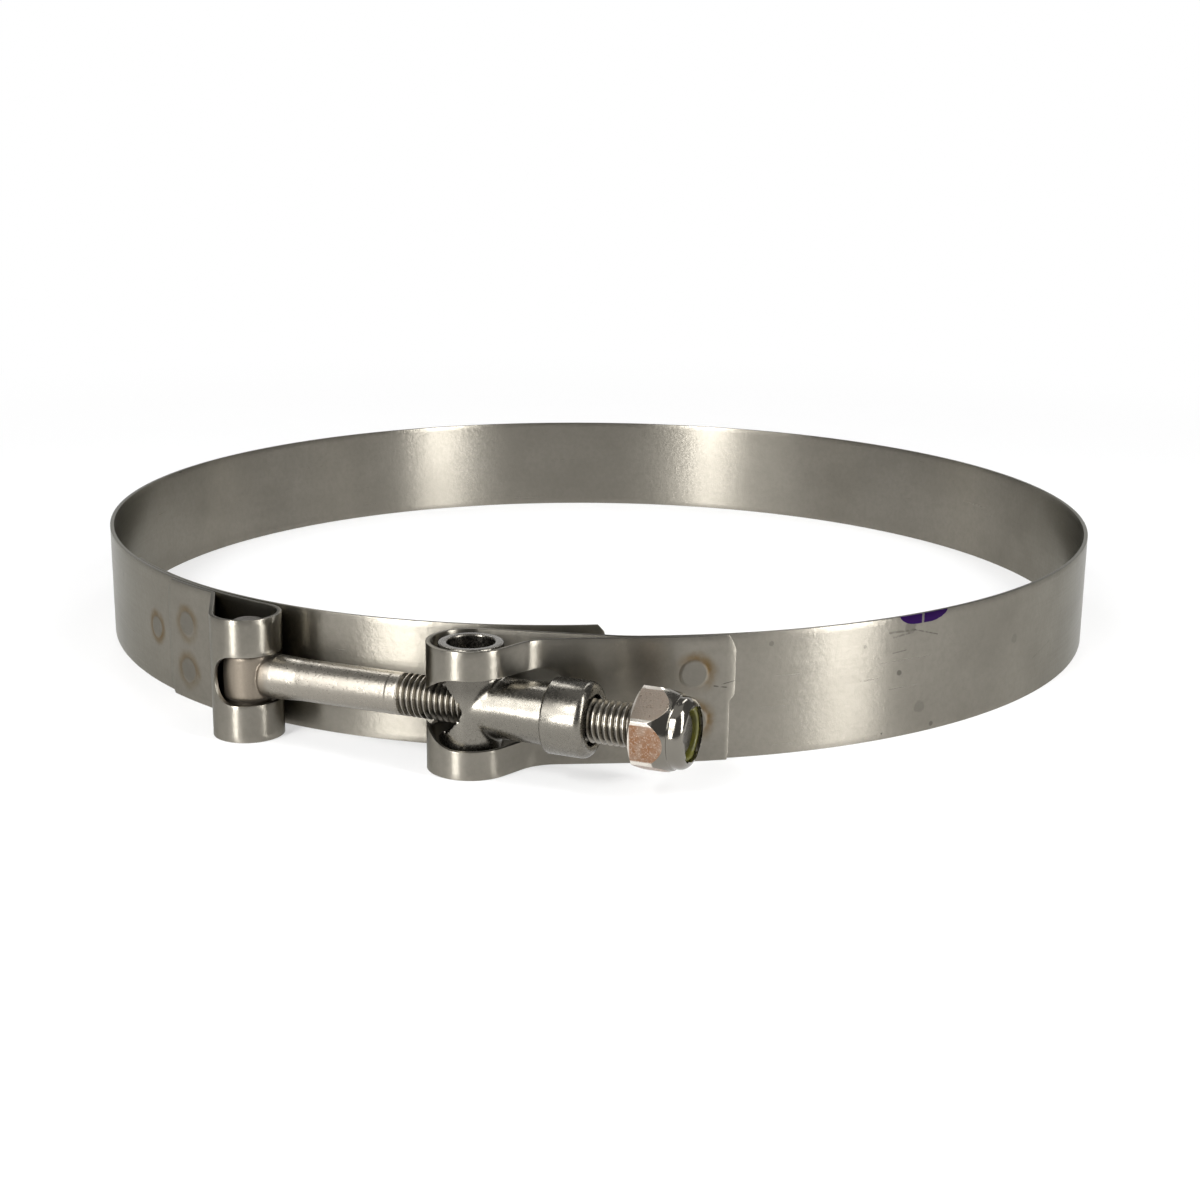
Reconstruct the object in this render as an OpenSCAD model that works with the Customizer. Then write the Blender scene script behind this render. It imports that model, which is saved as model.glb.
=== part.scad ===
// T bolt hose clamp: a spring steel band with two folded loops, drawn shut by a T bolt and a lock nut.
// Millimetres. The ring's axis is Z, the band's lower edge lies at Z = 0 and the bolt is on the -Y side.
// Angles along the band are counted from -Y, positive towards +X.

/* [Band] */
// Inside diameter of the ring
band_inner_d = 178.7; // [150:0.1:220]
// Width of the strip
band_w = 19.05; // [17:0.05:24]
// Thickness of the strip
band_t = 0.65; // [0.5:0.05:0.9]
// Gap between a folded leg and the band under it
weld_gap = 0.08; // [0.04:0.01:0.15]
// Diameter of a weld nugget
weld_d = 4; // [2.5:0.1:5]
// Height of the upper weld of each pair above the lower edge
weld_high = 13.4; // [11:0.1:15]
// Height of the lower weld of each pair above the lower edge
weld_low = 6.3; // [4:0.1:8]
// Corner cut of a strip end, along the band
corner_along = 1; // [0.5:0.1:3]
// Corner cut of a strip end, across the band
corner_across = 1.7; // [0.5:0.1:3]

/* [Left loop] */
// Angle at which the band turns into the loop
left_angle = -34; // [-38:0.5:-30]
// Inside radius of the loop
left_loop_r = 4.75; // [4.6:0.05:5.4]
// Angle at which the folded leg comes down on the band
left_touch = -42.5; // [-46:0.5:-40]
// Straight start of the folded leg
left_leg_straight = 1; // [0.6:0.1:3]
// Inside radius of the bend at the foot of the neck
left_bend_r = 1.4; // [0.8:0.1:2]
// Angle of the folded leg's end
left_leg_end = -49.5; // [-56:0.5:-48]
// Angle of the leg's weld pair
left_weld_angle = -46; // [-47:0.5:-44]
// Height of the window in the loop
left_window_h = 7.55; // [7:0.05:8.5]
// How far the window's round end reaches past the loop's middle
left_window_reach = 1.95; // [1:0.05:3]

/* [Right loop] */
// Angle at which the band leaves its circle
right_angle = 4.5; // [2:0.5:8]
// Turn of the band where it leaves the circle
right_turn = 13; // [11:0.5:15]
// Inside radius of that turn
right_turn_r = 22; // [12:1:40]
// Straight length between that turn and the loop
right_lead = 19.4; // [17:0.1:22]
// Inside radius of the loop
right_loop_r = 5.85; // [5.6:0.05:6.4]
// Angle at which the folded leg meets the band
right_touch = 5; // [3:0.5:7]
// Straight length of the folded leg
right_leg_straight = 13.9; // [12:0.1:15]
// Inside radius of the bend between neck and leg
right_bend_r = 7.3; // [4:0.1:7.6]
// Angle of the folded leg's end
right_leg_end = 12.9; // [12:0.1:18]
// How much shorter the leg's end is below its step
right_leg_step = 0.8; // [0.2:0.1:1.5]
// Height of the step in the leg's end above the lower edge
right_step_z = 9.6; // [6:0.1:13]
// Height of the step's slanted line
right_step_slant = 1; // [0.2:0.1:3]
// Angle of the leg's weld pair
right_weld_angle = 9; // [8:0.5:10]
// Height of the window in the loop
right_window_h = 10.6; // [10:0.05:12]
// How far the window reaches past the loop's middle, towards the bolt's head
right_window_left = 7; // [6.6:0.1:8]
// How far the window reaches past the loop's middle, towards the nut
right_window_right = 14.9; // [13:0.1:16]
// Diameter of the passage for the bolt
right_passage_d = 7.6; // [7.4:0.1:8.5]

/* [Bridge] */
// Thickness of the bridge strip
bridge_t = 0.55; // [0.4:0.05:0.8]
// Radius of the free part
bridge_r = 76; // [70:0.5:85]
// Angle of the welded end
bridge_start = -59; // [-66:0.5:-55]
// Angle at which the free part leaves the band
bridge_leave = -50; // [-52:0.5:-46]
// Turn of the free part
bridge_turn = 58.7; // [48:0.1:66]
// Angle of the weld to the band
bridge_weld_angle = -53.3; // [-54:0.1:-52.5]
// Gap between the bridge and the band at the weld
bridge_gap = 0.05; // [0.03:0.01:0.1]
// Least clearance of the free part under the straight length of the right loop
bridge_clear = 1.75; // [0.8:0.05:4]
// Corner cut of the free end, along the strip
bridge_corner_along = 1.2; // [1:0.1:4]
// Corner cut of the free end, across the strip
bridge_corner_across = 1.3; // [0.5:0.1:3]

/* [T bolt] */
// Diameter of the shank
shank_d = 6.35; // [6:0.05:6.6]
// Diameter of the threaded length, at the middle of the thread's flanks
thread_d = 5.76; // [5.4:0.02:5.9]
// Diameter of the shank's root at the head
root_d = 6.8; // [6.6:0.05:7.2]
// Distance of the root's taper from the head's axis
root_start = 5; // [4:0.1:6]
// Length of the root's taper
root_taper = 4.5; // [2:0.1:7]
// Length from the head's axis to the thread
shank_len = 26.5; // [20:0.5:28]
// Length of the taper between shank and thread
shank_taper = 0.6; // [0.3:0.1:1.2]
// Bolt length past the trunnion's axis
bolt_past_trunnion = 32.9; // [30:0.1:48]
// Chamfer of the bolt's tip
tip_chamfer = 0.6; // [0.2:0.1:1]
// Diameter of the head's hub
hub_d = 7.94; // [7.5:0.02:8.4]
// Height of the hub
hub_h = 6.8; // [6:0.1:7.2]
// Rounding of the hub's edges
hub_round = 1.3; // [0.4:0.1:1.6]
// Diameter of the head's arms
arm_d = 6.35; // [5.5:0.05:7]
// Distance of each arm's end from the band's edge
arm_inset = 1.15; // [0.5:0.05:2]
// Rounding of the arms' ends
arm_round = 1.6; // [0.6:0.1:2.4]
// Shift of the head's axis from the loop's middle towards the nut
head_shift = 0.45; // [0:0.05:0.5]

/* [Trunnion] */
// Outside diameter of the upright tube
tube_d = 9.55; // [9:0.05:9.8]
// Inside diameter of the upright tube
tube_bore = 7.04; // [6.6:0.02:7.4]
// Distance of each tube end from the band's edge
tube_inset = 0.15; // [0:0.05:0.6]
// Chamfer of the tube's ends
tube_chamfer = 0.2; // [0.1:0.05:0.4]
// Outside diameter of the sleeve
sleeve_d = 9; // [8.8:0.05:9.3]
// Hole for the bolt
bolt_hole_d = 7.4; // [7:0.05:7.8]
// Diameter of the relief that opens the tube towards the bolt's head
relief_d = 10.4; // [9.8:0.1:10.6]
// Distance of the relief's floor from the tube's axis
relief_reach = 0.8; // [0.3:0.1:2]
// Mouth of the countersink in the relief's floor
countersink_d = 8.6; // [8:0.1:8.8]
// Depth of the countersink
countersink_depth = 0.8; // [0.3:0.1:1.2]
// Start of the collar, from the tube's axis
collar_start = 12.9; // [10:0.1:14]
// Outside diameter of the collar
collar_d = 11.1; // [10.6:0.1:12]
// Length of the collar
collar_len = 6.4; // [5:0.1:8]
// End wall of the collar
collar_wall = 1.3; // [1:0.1:2]
// Rounding of the collar's outer end
collar_round = 1.2; // [0.4:0.1:1.4]
// Rounding of the collar's inner end
collar_lead_round = 0.4; // [0.2:0.1:0.6]
// Radial press of the collar on the sleeve
collar_press = 0.02; // [0.01:0.005:0.03]
// Gap between the sleeve's end and the collar's end wall
collar_gap = 0.05; // [0.03:0.01:0.1]

/* [Lock nut] */
// Width across flats
nut_af = 11.11; // [10.5:0.01:12]
// Height of the hexagon
nut_hex_h = 5.6; // [4.8:0.1:6.4]
// Full height of the nut
nut_h = 7.9; // [7.6:0.1:8.6]
// Slope of the hexagon's chamfer on the bearing face
nut_chamfer = 30; // [20:1:40]
// Slope of the hexagon's dome at the crimped end
nut_dome = 69; // [40:1:71]
// How far the chamfers reach inside the flats
nut_face_step = 0.15; // [0.1:0.05:0.4]
// Gap between collar and nut
nut_gap = 6.9; // [3:0.1:8]
// Turn of the hexagon about the bolt
nut_turn = 5; // [0:1:60]
// Radial clearance of the nut's bore on the thread
nut_clear = 0.05; // [0.03:0.01:0.1]
// Diameter of the crimped collar over the insert
crimp_d = 10.3; // [9.6:0.1:10.4]
// Rounding of the crimped collar
crimp_round = 1.5; // [0.6:0.1:1.6]
// Opening of the crimped collar
crimp_opening = 7.8; // [7:0.1:8]
// Thickness of the crimped lip
crimp_lip = 0.65; // [0.4:0.05:0.9]
// Outside diameter of the insert
insert_d = 8.4; // [8.2:0.05:8.6]
// Clearance round the insert
insert_clear = 0.05; // [0.03:0.01:0.1]
// Height of the insert under the lip
insert_h = 1.8; // [1.2:0.1:2.2]
// How far the insert's rim stands up in the lip's opening
insert_rim = 0.1; // [0.1:0.05:0.4]

/* [Hidden] */
$fn = 96;

band_outer_r = band_inner_d / 2 + band_t;
mid_z = band_w / 2;
// Direction of the band's angle 0 in the part's frame
zero_angle = -90;
// Thinning of each face where the strip is stretched in a bend
bend_draw = 0.02;
// Length by which a bend runs into the strip beside it
bend_lap = 0.15;
// Overrun of every cut past the face that it goes through
past = 1;
// Depth by which a weld nugget is sunk into each of its two strips
nugget_bite = 0.2;
// How far a window's floor stays clear of the band inside a loop
window_floor = 0.3;
// Depth, from the loop's middle, to which the right window is cut towards the ring's axis
right_window_depth = 2.8;
// How far the nut's turned outline stays outside the hexagon's corners
corner_over = 0.2;
// Points along each quarter of a rounded edge
round_steps = 6;
steel = [0.62, 0.6, 0.57];
bright_steel = [0.72, 0.7, 0.66];
insert_yellow = [0.62, 0.6, 0.2];

// A point at radius r and angle a.
function polar(r, a) = r * [cos(a), sin(a)];

// The direction along a circle towards smaller angles, at angle a.
function backward(a) = [sin(a), -cos(a)];

// Points of an arc about [x, y], from angle a0 to a1.
function arc_points(x, y, r, a0, a1) =
    [for (i = [0:round_steps]) [x, y] + polar(r, a0 + (a1 - a0) * i / round_steps)];

// The end functions work in a frame whose X axis is the band's angle 0, with the loop at negative angles.

// Outer face of the strip where its lead turn ends.
function lead_end(start, turn, turn_r) =
    polar(band_outer_r - band_t - turn_r, start) + polar(turn_r + band_t, start - turn);

// Middle of a loop.
function loop_middle(start, turn, turn_r, lead, loop_r) =
    lead_end(start, turn, turn_r) + lead * backward(start - turn) + polar(loop_r, start - turn);

// Middle of the bend between a loop's neck and its folded leg.
function bend_middle(touch, straight, bend_r) =
    polar(band_outer_r + weld_gap + band_t + bend_r, touch) + straight * backward(touch);

// Direction, from the loop's middle, of the point where the neck leaves the loop.
function neck_angle(loop, bend, loop_r, bend_r) =
    atan2(bend.y - loop.y, bend.x - loop.x) - acos((loop_r + bend_r + band_t) / norm(bend - loop));

// Length of the neck.
function neck_length(loop, bend, loop_r, bend_r) =
    sqrt(pow(norm(bend - loop), 2) - pow(loop_r + bend_r + band_t, 2));

left_local = loop_middle(-left_angle, 0, left_loop_r, 0, left_loop_r);
right_local = loop_middle(right_angle, right_turn, right_turn_r, right_lead, right_loop_r);
// Loop middles in the part's frame
left_middle = [-left_local.y, -left_local.x];
right_middle = [right_local.y, -right_local.x];
bolt_span = norm(right_middle - left_middle);
bolt_angle = atan2(right_middle.y - left_middle.y, right_middle.x - left_middle.x);
head_axis = left_middle + polar(head_shift, bolt_angle);
head_to_trunnion = bolt_span - head_shift;
bolt_len = head_to_trunnion + bolt_past_trunnion;
nut_start = head_to_trunnion + collar_start + collar_len + nut_gap;
bridge_face_r = band_inner_d / 2 - bridge_gap;
// Where the free part of the bridge leaves the band, and the point that it has to clear under the right loop
bridge_from = polar(bridge_face_r, bridge_leave + zero_angle);
under_local = right_local - polar(right_loop_r + band_t + bridge_clear, right_angle - right_turn);
under_loop = [under_local.y, -under_local.x];
bridge_chord = under_loop - bridge_from;
bridge_rise = sqrt(pow(bridge_r, 2) - pow(norm(bridge_chord) / 2, 2));
// The free part leaves the band along its curve, or turned inwards where that clears the loop too little
smooth_middle = polar(bridge_face_r - bridge_r, bridge_leave + zero_angle);
turned_middle = (bridge_from + under_loop) / 2
    + bridge_rise * [-bridge_chord.y, bridge_chord.x] / norm(bridge_chord);
bridge_middle = norm(under_loop - smooth_middle) > bridge_r ? smooth_middle : turned_middle;
sleeve_len = collar_start + collar_len - collar_wall - collar_gap;
bore_r = thread_d / 2 + nut_clear;
pocket_top = nut_h - crimp_lip;
pocket_floor = pocket_top - insert_h - 2 * insert_clear;

// Part of a ring of strip about a point, between two angles, with all its faces drawn in by the same amount.
module ring_piece(middle, r_in, thick, from, to, draw)
    translate([middle.x, middle.y, 0])
        rotate([0, 0, from])
            rotate_extrude(angle = to - from)
                translate([r_in + draw, draw])
                    square([thick - 2 * draw, band_w - 2 * draw]);

// A bend of the strip, drawn a little thinner and run into the straight strip at both ends.
module bend(middle, r_in, from, to) {
    lap = asin(bend_lap / r_in);
    ring_piece(middle, r_in, band_t, from - lap, to + lap, bend_draw);
}

// A straight length of strip whose face starts at a point, with the strip on one side of it (-1 or 1).
module straight(start, direction, len, side)
    translate([start.x, start.y, 0])
        rotate([0, 0, direction])
            translate([0, side < 0 ? -band_t : 0, 0])
                cube([len, band_t, band_w]);

// Round nugget that joins a folded leg to the band.
module nugget(angle, z)
    rotate([0, 0, angle])
        translate([band_outer_r - nugget_bite, 0, z])
            rotate([0, 90, 0])
                cylinder(d = weld_d, h = weld_gap + 2 * nugget_bite);

// Triangular cuts off both corners of a strip's end that lies at an angle, at radius r.
module corner_cuts(r, angle, along, across)
    rotate([0, 0, angle])
        for (top = [0, 1])
            translate([r - past, 0, top * band_w])
                mirror([0, 0, top])
                    rotate([90, 0, 90])
                        linear_extrude(3 * past)
                            polygon([
                                [past, -past],
                                [past, across],
                                [0, across],
                                [-along, 0],
                                [-along, -past]]);

// Cut that leaves a strip's end shorter below a slanted step at height z.
module step_cut(r, angle, step, z, slant)
    rotate([0, 0, angle])
        translate([r - past, 0, 0])
            rotate([90, 0, 90])
                linear_extrude(3 * past)
                    polygon([
                        [past, -past],
                        [past, z + slant / 2 + slant * past / step],
                        [-step, z - slant / 2],
                        [-step, -past]]);

// One end of the band: turn, lead, loop, neck and the leg folded back on the band.
module folded_end(start, turn, turn_r, lead, loop_r, touch, leg_straight, bend_r, leg_end, weld_angle,
    leg_step) {
    loop = loop_middle(start, turn, turn_r, lead, loop_r);
    foot = bend_middle(touch, leg_straight, bend_r);
    neck = neck_angle(loop, foot, loop_r, bend_r);
    if (turn > 0) {
        bend(polar(band_outer_r - band_t - turn_r, start), turn_r, start - turn, start);
        straight(lead_end(start, turn, turn_r), start - turn - 90, lead, -1);
    }
    bend(loop, loop_r, start - turn + 180, neck + 360);
    straight(loop + polar(loop_r, neck), neck + 90, neck_length(loop, foot, loop_r, bend_r), -1);
    bend(foot, bend_r, touch + 180, neck + 180);
    straight(polar(band_outer_r + weld_gap, touch), touch - 90, leg_straight, 1);
    difference() {
        bend([0, 0], band_outer_r + weld_gap, touch, leg_end);
        corner_cuts(band_outer_r, leg_end, corner_along, corner_across);
        if (leg_step > 0)
            step_cut(band_outer_r, leg_end, leg_step, right_step_z, right_step_slant);
    }
    for (z = [weld_low, weld_high])
        nugget(weld_angle, z);
}

// Slot with one round end, cut outwards along X: the round end's tip at Y = 0, open to Y = len.
module window(h, len, depth)
    rotate([0, 90, 0])
        linear_extrude(depth)
            union() {
                translate([0, h / 2])
                    circle(d = h);
                translate([-h / 2, h / 2])
                    square([h, len - h / 2]);
            }

// Places children on the bolt's axis, at a distance from the head, with Z along the bolt.
module on_bolt(s)
    translate([head_axis.x, head_axis.y, mid_z])
        rotate([0, 0, bolt_angle])
            rotate([0, 90, 0])
                translate([0, 0, s])
                    children();

// Window of the left loop: round at the leg's side and open where the shank leaves.
module left_window()
    rotate([0, 0, left_angle + zero_angle])
        translate([band_outer_r + window_floor, -left_window_reach, mid_z])
            window(left_window_h, left_window_reach + 2 * left_loop_r, 3 * left_loop_r);

// Window of the right loop: a slot round at both ends, and the bolt's passage.
module right_window() {
    slot_len = right_window_left + right_window_right - right_window_h / 2;
    rotate([0, 0, zero_angle])
        translate([right_local.x - right_window_depth, right_local.y - right_window_left, mid_z]) {
            window(right_window_h, slot_len, 3 * right_loop_r);
            translate([0, slot_len, 0])
                rotate([0, 90, 0])
                    cylinder(d = right_window_h, h = 3 * right_loop_r);
        }
    on_bolt(head_to_trunnion - 2 * right_loop_r)
        cylinder(d = right_passage_d, h = 2 * right_loop_r);
}

// The strip: one piece from leg end to leg end.
module band()
    color(steel)
        difference() {
            union() {
                ring_piece([0, 0], band_inner_d / 2, band_t, right_angle + zero_angle,
                    left_angle + zero_angle + 360, 0);
                rotate([0, 0, zero_angle])
                    folded_end(right_angle, right_turn, right_turn_r, right_lead, right_loop_r, right_touch,
                        right_leg_straight, right_bend_r, right_leg_end, right_weld_angle, right_leg_step);
                rotate([0, 0, zero_angle])
                    mirror([0, 1, 0])
                        folded_end(-left_angle, 0, left_loop_r, 0, left_loop_r, -left_touch,
                            left_leg_straight, left_bend_r, -left_leg_end, -left_weld_angle, 0);
            }
            left_window();
            right_window();
        }

// Inner strip that covers the gap between the loops, welded at one end and free at the other.
module bridge() {
    free_start = atan2(bridge_from.y - bridge_middle.y, bridge_from.x - bridge_middle.x);
    free_end = free_start + bridge_turn;
    lap = asin(bend_lap / bridge_r);
    color(steel) {
        ring_piece([0, 0], bridge_face_r - bridge_t, bridge_t, bridge_start + zero_angle,
            bridge_leave + zero_angle, 0);
        difference() {
            ring_piece(bridge_middle, bridge_r - bridge_t, bridge_t, free_start - lap, free_end, bend_draw);
            translate([bridge_middle.x, bridge_middle.y, 0])
                corner_cuts(bridge_r - bridge_t, free_end, bridge_corner_along, bridge_corner_across);
        }
        rotate([0, 0, bridge_weld_angle + zero_angle])
            translate([bridge_face_r - nugget_bite, 0, mid_z])
                rotate([0, 90, 0])
                    cylinder(d = weld_d, h = 2 * nugget_bite);
    }
}

// A turned body with a rounded edge at both ends, standing on Z = 0.
module rounded_body(d, h, edge)
    rotate_extrude()
        polygon(concat(
            [[0, 0]],
            arc_points(d / 2 - edge, edge, edge, -90, 0),
            arc_points(d / 2 - edge, h - edge, edge, 0, 90),
            [[0, h]]));

// Bolt with a cross head: hub, two arms, plain shank and threaded length.
module t_bolt()
    color(bright_steel) {
        translate([head_axis.x, head_axis.y, 0]) {
            translate([0, 0, mid_z - hub_h / 2])
                rounded_body(hub_d, hub_h, hub_round);
            translate([0, 0, arm_inset])
                rounded_body(arm_d, band_w - 2 * arm_inset, arm_round);
        }
        on_bolt(0)
            rotate_extrude()
                polygon([
                    [0, 0],
                    [root_d / 2, 0],
                    [root_d / 2, root_start],
                    [shank_d / 2, root_start + root_taper],
                    [shank_d / 2, shank_len - shank_taper],
                    [thread_d / 2, shank_len],
                    [thread_d / 2, bolt_len - tip_chamfer],
                    [thread_d / 2 - tip_chamfer, bolt_len],
                    [0, bolt_len]]);
    }

// Upright tube that lies in the right loop, open towards the bolt's head, with a sleeve round the bolt.
module trunnion()
    color(bright_steel)
        difference() {
            union() {
                translate([right_middle.x, right_middle.y, tube_inset])
                    rotate_extrude()
                        polygon([
                            [0, 0],
                            [tube_d / 2 - tube_chamfer, 0],
                            [tube_d / 2, tube_chamfer],
                            [tube_d / 2, band_w - 2 * tube_inset - tube_chamfer],
                            [tube_d / 2 - tube_chamfer, band_w - 2 * tube_inset],
                            [0, band_w - 2 * tube_inset]]);
                on_bolt(head_to_trunnion)
                    cylinder(d = sleeve_d, h = sleeve_len);
            }
            translate([right_middle.x, right_middle.y, -past])
                cylinder(d = tube_bore, h = band_w + 2 * past);
            on_bolt(head_to_trunnion - tube_d)
                cylinder(d = bolt_hole_d, h = sleeve_len + 2 * tube_d);
            on_bolt(head_to_trunnion - tube_d)
                cylinder(d = relief_d, h = tube_d - relief_reach);
            on_bolt(head_to_trunnion - relief_reach - countersink_depth)
                cylinder(d1 = 2 * countersink_d - bolt_hole_d, d2 = 2 * bolt_hole_d - countersink_d,
                    h = 3 * countersink_depth);
        }

// Cap pressed on the end of the sleeve, which the nut bears on.
module trunnion_collar() {
    seat_r = sleeve_d / 2 - collar_press;
    color(bright_steel)
        on_bolt(head_to_trunnion + collar_start)
            rotate_extrude()
                polygon(concat(
                    [[seat_r, 0]],
                    arc_points(collar_d / 2 - collar_lead_round, collar_lead_round, collar_lead_round,
                        -90, 0),
                    arc_points(collar_d / 2 - collar_round, collar_len - collar_round, collar_round, 0, 90),
                    [[bolt_hole_d / 2, collar_len],
                        [bolt_hole_d / 2, collar_len - collar_wall],
                        [seat_r, collar_len - collar_wall]]));
}

// Hexagon nut with a crimped collar that holds the insert.
module lock_nut() {
    corner_r = nut_af / 2 / cos(30);
    // Chamfer and dome start inside the flats and slope to past the corners.
    face_r = nut_af / 2 - nut_face_step;
    over_r = corner_r + corner_over;
    color(bright_steel)
        on_bolt(nut_start)
            difference() {
                union() {
                    intersection() {
                        rotate([0, 0, nut_turn])
                            cylinder(r = corner_r, h = nut_hex_h, $fn = 6);
                        rotate_extrude()
                            polygon([
                                [0, 0],
                                [face_r, 0],
                                [over_r, (over_r - face_r) * tan(nut_chamfer)],
                                [over_r, nut_hex_h - (over_r - face_r) * tan(nut_dome)],
                                [face_r, nut_hex_h],
                                [0, nut_hex_h]]);
                    }
                    rotate_extrude()
                        polygon(concat(
                            [[0, nut_hex_h - past], [crimp_d / 2, nut_hex_h - past]],
                            arc_points(crimp_d / 2 - crimp_round, nut_h - crimp_round, crimp_round, 0, 90),
                            [[0, nut_h]]));
                }
                rotate_extrude()
                    polygon([
                        [0, -past],
                        [bore_r + past + tip_chamfer, -past],
                        [bore_r, tip_chamfer],
                        [bore_r, pocket_floor],
                        [insert_d / 2 + insert_clear, pocket_floor],
                        [insert_d / 2 + insert_clear, pocket_top],
                        [crimp_opening / 2, pocket_top],
                        [crimp_opening / 2, nut_h + past],
                        [0, nut_h + past]]);
            }
}

// Ring that grips the thread, held under the nut's crimped lip.
module nylon_insert()
    color(insert_yellow)
        on_bolt(nut_start + pocket_floor + insert_clear)
            rotate_extrude()
                polygon([
                    [bore_r, 0],
                    [insert_d / 2, 0],
                    [insert_d / 2, insert_h],
                    [crimp_opening / 2 - insert_clear, insert_h],
                    [crimp_opening / 2 - insert_clear, insert_h + insert_rim],
                    [bore_r, insert_h + insert_rim]]);

band();
bridge();
t_bolt();
trunnion();
trunnion_collar();
lock_nut();
nylon_insert();
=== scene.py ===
"""Dressed model of a T bolt hose clamp, laid out as an add-on and run as a script."""

import math

import bmesh
import bpy
from bpy.props import FloatProperty, FloatVectorProperty, IntProperty, PointerProperty
from mathutils import Matrix, Vector


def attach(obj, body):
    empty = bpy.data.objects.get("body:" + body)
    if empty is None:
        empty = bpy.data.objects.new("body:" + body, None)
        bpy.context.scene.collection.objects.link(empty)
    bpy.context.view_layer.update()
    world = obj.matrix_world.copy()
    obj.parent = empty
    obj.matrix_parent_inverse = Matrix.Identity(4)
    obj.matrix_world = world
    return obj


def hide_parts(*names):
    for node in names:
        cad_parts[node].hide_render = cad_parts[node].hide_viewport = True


bl_info = {
    "name": "T bolt clamp",
    "version": (1, 0, 0),
    "blender": (4, 5, 0),
    "location": "3D View > Sidebar > Clamp",
    "description": "Builds a T bolt hose clamp and its studio round the packed solids",
    "category": "Add Mesh",
}

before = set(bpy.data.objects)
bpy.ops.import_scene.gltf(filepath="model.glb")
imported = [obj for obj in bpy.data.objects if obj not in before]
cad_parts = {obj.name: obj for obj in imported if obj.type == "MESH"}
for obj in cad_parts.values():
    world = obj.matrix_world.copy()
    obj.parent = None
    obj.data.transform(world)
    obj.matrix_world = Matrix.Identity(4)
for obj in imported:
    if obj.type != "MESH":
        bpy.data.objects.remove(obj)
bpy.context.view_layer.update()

# Small sizes of the pieces in metres, and the count of rows across a strip.
STRIP_EDGE = 0.00009
STRIP_ROWS = 19
WINDOW_DEPTH = 0.02
SHANK_RIM = 0.0005
BORE_PLAY = 0.00008
LIP_DEPTH = 0.00065
POCKET_HEIGHT = 0.0019
BOLT_VOXEL, ROOT_VOXEL, TRUNNION_VOXEL = 0.00013, 0.00014, 0.000165
# Funnel of the tube's opening: its start before the tube's axis, and radius and height of its throat.
FUNNEL_START = 0.0022
FUNNEL_THROAT = [(0.0038, 0.0042), (0.0036, 0.0046), (0, 0.0046)]
# Half the angle of one side of a hexagon.
HEX_TURN = math.radians(30)
# Ink dash: first angle and run in radians, depth below the edge and place of the gap along it.
INK_START, INK_RUN, INK_DEPTH, INK_GAP = 0.5306, 0.11, 0.0015, 0.47
# Welds on the band: angle, height, whether on a folded leg, radius, strength and lean of the heat ring.
WELDS = ((9.0, 0.0134, True, 0.0022, 0.9, 1.0), (9.0, 0.0063, True, 0.0022, 0.9, 1.0),
         (-46.0, 0.0125, True, 0.0021, 0.62, 0.2), (-46.0, 0.0049, True, 0.0021, 0.62, 0.2),
         (-53.3, 0.0094, False, 0.0019, 1.0, 0.3))
# Lamps: name, place, aim, width, height and power.
LAMPS = (("left_low", (-0.283, -0.438, 0.08), (-0.02, -0.02, 0.04), 0.11, 0.15, 1.1),
         ("left_high", (-0.283, -0.438, 0.42), (-0.02, -0.02, 0.1), 0.11, 0.22, 1.7),
         ("right_strip", (0.252, -0.217, 0.23), (0.02, 0, 0.15), 0.085, 0.42, 1.7),
         ("back_left", (-0.2, 0.46, 0.62), (0, 0, 0.1), 0.1, 0.4, 0.9),
         ("back_right", (0.2, 0.46, 0.62), (0, 0, 0.1), 0.1, 0.4, 0.9),
         ("high_front", (-0.52, -0.66, 0.78), (0, 0, 0), 0.62, 0.28, 2.5),
         ("low_front", (-0.52, -0.66, 0.4), (0, 0, 0), 0.62, 0.28, 2.5),
         ("top_lamp", (0, -0.1, 1.1), (0, 0, 0), 0.9, 0.9, 1.2))
# Camera: place, tilt and roll in degrees, and focal length in millimetres.
CAMERA_PLACE, CAMERA_TILT, CAMERA_ROLL, CAMERA_LENS = (0.00033, -0.3587, 0.097), 74.91, 0.669, 58.05


def length(label, words, default):
    """A size in metres."""
    return FloatProperty(name=label, description=words, default=default, min=0.0, precision=5, unit="LENGTH")


def angle(label, words, degrees):
    """An angle, given in degrees."""
    return FloatProperty(name=label, description=words, default=math.radians(degrees), subtype="ANGLE")


def colour(label, words, rgb):
    """A linear colour."""
    return FloatVectorProperty(name=label, description=words, default=rgb, size=3, min=0.0, max=1.0,
                               subtype="COLOR")


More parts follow.
